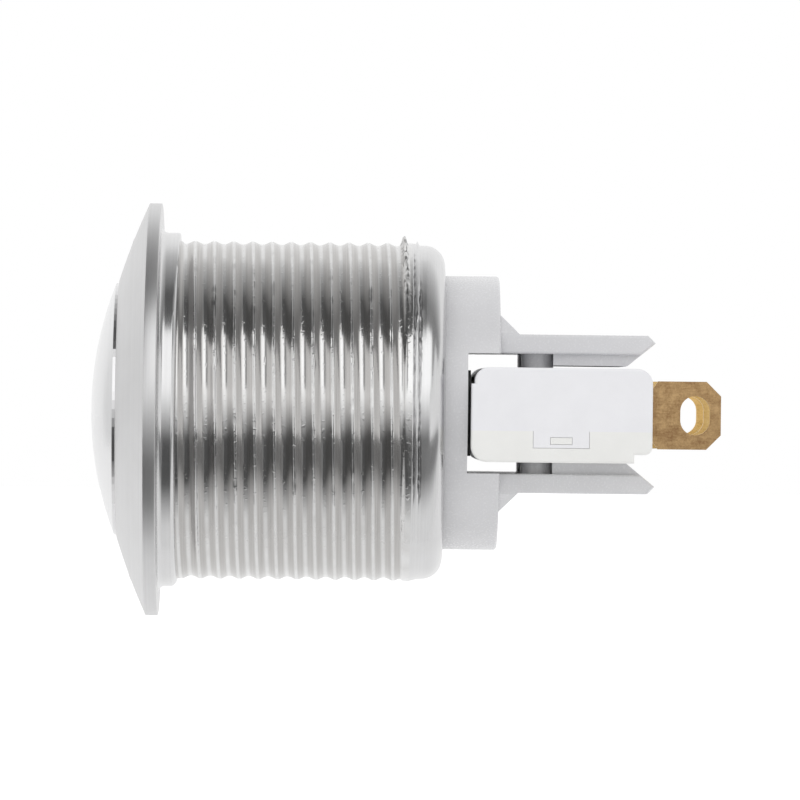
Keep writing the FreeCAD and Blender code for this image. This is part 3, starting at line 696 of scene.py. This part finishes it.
# Each long card: its two edges, its run along Y, and its fade.
for card_name, low_edge, high_edge, y_range, fade in (
    ("overhead_card", (0.188, 0.25), (-0.6, 0.25), (-0.6, 0.04), (X_AXIS, -0.23, 0.04, 1.05, 0.1)),
    ("overhead_end_card", (0.14, 0.25), (-0.6, 0.25), (0.04, 0.6), (X_AXIS, -0.23, 0.05, 1.05, 0.28)),
    ("front_low_card", LOW_FOOT, LOW_TOP, (-0.6, 0.0175), (X_AXIS, 0.014, 0.04, 0.92, 0.1)),
    ("front_low_end_card", LOW_FOOT, LOW_TOP, (0.0175, 0.3), (X_AXIS, 0.02, 0.046, 0.95, 0.26)),
    ("front_fade_card", LOW_TOP, (0.1, 0.027), (-0.6, 0.06), (Z_AXIS, -0.034, 0.02, 0.1, 1.3)),
    ("front_high_card_left", BOX_FOOT, BOX_TOP, (-1.1, -0.2), (Y_AXIS, -0.42, -0.3, 1.1, 0.4)),
    ("front_high_card_middle", BOX_FOOT, BOX_TOP, (-0.2, 0.06), (Y_AXIS, -0.14, -0.06, 0.4, 1.4)),
    ("front_high_card_right", BOX_FOOT, BOX_TOP_RIGHT, (0.06, 0.42), (Y_AXIS, 0.36, 0.42, 1.45, 0.5)),
):
    card_material = card_paint(card_name.replace("_card", ""), 0.0, fade)
    long_card(card_name, low_edge, high_edge, y_range, card_material)
lug_end_corners = [(-1.2, 0.42, 0.85), (1.2, 0.42, -0.04), (1.2, 0.42, 1.5), (-1.2, 0.42, 1.5)]
reflection_card("lug_end_card", lug_end_corners, card_paint("lug_end", 0.3))
button_end_corners = [(-0.5, -1.2, -0.044), (-0.5, -0.33, -0.044), (-0.5, -0.33, 0.6), (-0.5, -1.2, 0.6)]
reflection_card("button_end_card", button_end_corners,
                card_paint("button_end", 0.0, (Z_AXIS, 0.0, 0.25, 0.82, 1.05)))


# Light: one wide soft box in front and above, which reflections see as the bright cards instead, and
# a white surround whose soft light is dimmer from the front.
world = bpy.data.worlds.new("surround")
bpy.context.scene.world = world
world.use_nodes = True
world_tree = world.node_tree
surround = next(n for n in world_tree.nodes if n.type == "BACKGROUND")
surround.inputs["Color"].default_value = (1.0, 1.0, 1.0, 1.0)
SOFT_BEHIND, SOFT_AHEAD = 0.95, 0.6
ahead = apart(world_tree, world_tree.nodes.new("ShaderNodeTexCoord").outputs["Generated"])[X_AXIS]
soft_part = ease(world_tree, ahead, 0.3, 0.95, SOFT_BEHIND, SOFT_AHEAD)
surround_strength = calc(world_tree, "MAXIMUM", seen_directly(world_tree), soft_part)
join(world_tree, surround_strength, surround.inputs["Strength"])
SOFT_BOX_GLOW = 0.5
SOFT_BOX_AIM = Vector((0.0, -0.1, 0.0))
box_light = bpy.data.lights.new("soft_box", "AREA")
box_light.shape = "RECTANGLE"
box_light.size = 1.0
box_light.size_y = 0.473
box_light.energy = SOFT_BOX_GLOW * math.pi * box_light.size * box_light.size_y
box_light.specular_factor = 0.0
soft_box = bpy.data.objects.new("soft_box", box_light)
bpy.context.scene.collection.objects.link(soft_box)
soft_box.location = (0.482, -0.1, 0.357)
soft_box.visible_glossy = False
soft_box.rotation_euler = (SOFT_BOX_AIM - soft_box.location).to_track_quat("-Z", "Y").to_euler()


# Camera: a long lens, level with the axis and square to it, turned slightly as the part lies in the
# photograph.
lens = bpy.data.cameras.new("camera")
lens.lens = 311.0
lens.sensor_width = 36.0
lens.clip_start = 0.01
camera = bpy.data.objects.new("camera", lens)
bpy.context.scene.collection.objects.link(camera)
camera.location = (0.450, 0.00918, 0.00079)
CAMERA_AIM = Vector((0.0, 0.01439, 0.00079))
CAMERA_ROLL = math.radians(0.66)
facing = (CAMERA_AIM - camera.location).to_track_quat("-Z", "Y").to_matrix().to_4x4()
camera.rotation_euler = (facing @ Matrix.Rotation(CAMERA_ROLL, 4, "Z")).to_euler()
bpy.context.scene.camera = camera
bpy.context.scene.view_settings.view_transform = "Standard"
